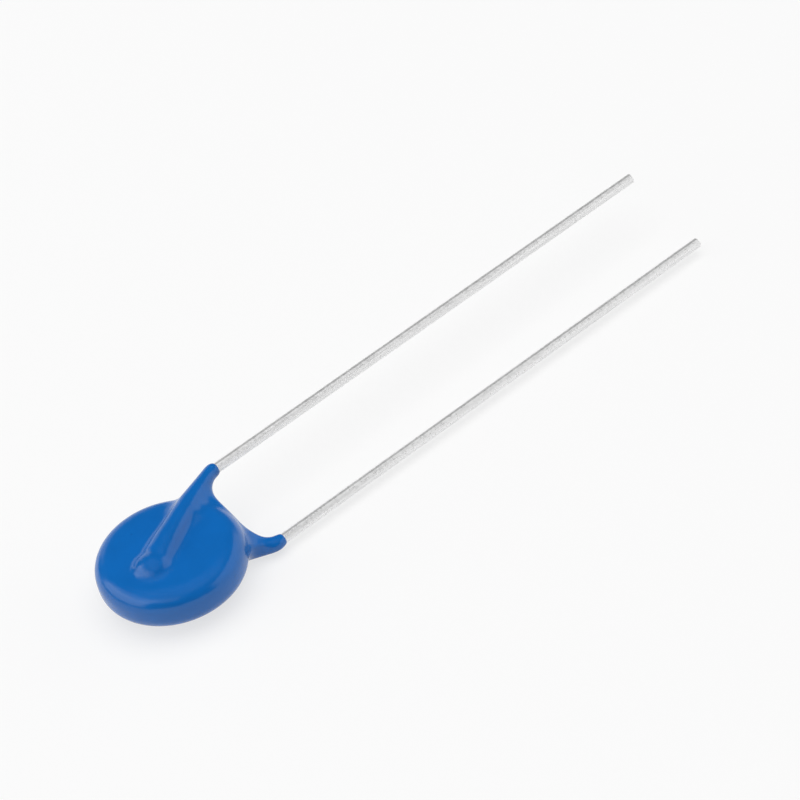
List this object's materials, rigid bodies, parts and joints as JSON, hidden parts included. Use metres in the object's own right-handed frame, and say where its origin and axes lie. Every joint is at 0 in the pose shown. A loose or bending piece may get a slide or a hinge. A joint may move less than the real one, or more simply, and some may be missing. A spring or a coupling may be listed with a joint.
{
  "type": "disc varistor",
  "caption": "Round-edged disc varistor in a dipped epoxy skin, with two parallel tinned wire leads, a ridge over each wire and a web between the necks.",
  "frame": {"origin": "under the middle of the part's box, in the plane it lies on, with the disc lying flat", "axes": "+X along the leads towards their tips, +Y towards the upper lead's side, +Z along the disc's axis"},
  "size_m": [0.0416, 0.0084, 0.004],
  "materials": {
    "epoxy": "glossy dipped epoxy",
    "tinned_wire": "bright drawn tinned copper",
    "zinc_oxide": "matt sintered",
    "fired_silver": "matt fired silver",
    "solder": "satin solder"
  },
  "bodies": {
    "root": {"epoxy_coating": "epoxy", "lead_top": "tinned_wire", "lead_bottom": "tinned_wire", "ceramic_disc": "zinc_oxide", "electrode_top": "fired_silver", "electrode_bottom": "fired_silver", "solder_top": "solder", "solder_bottom": "solder"}
  },
  "joints": []
}
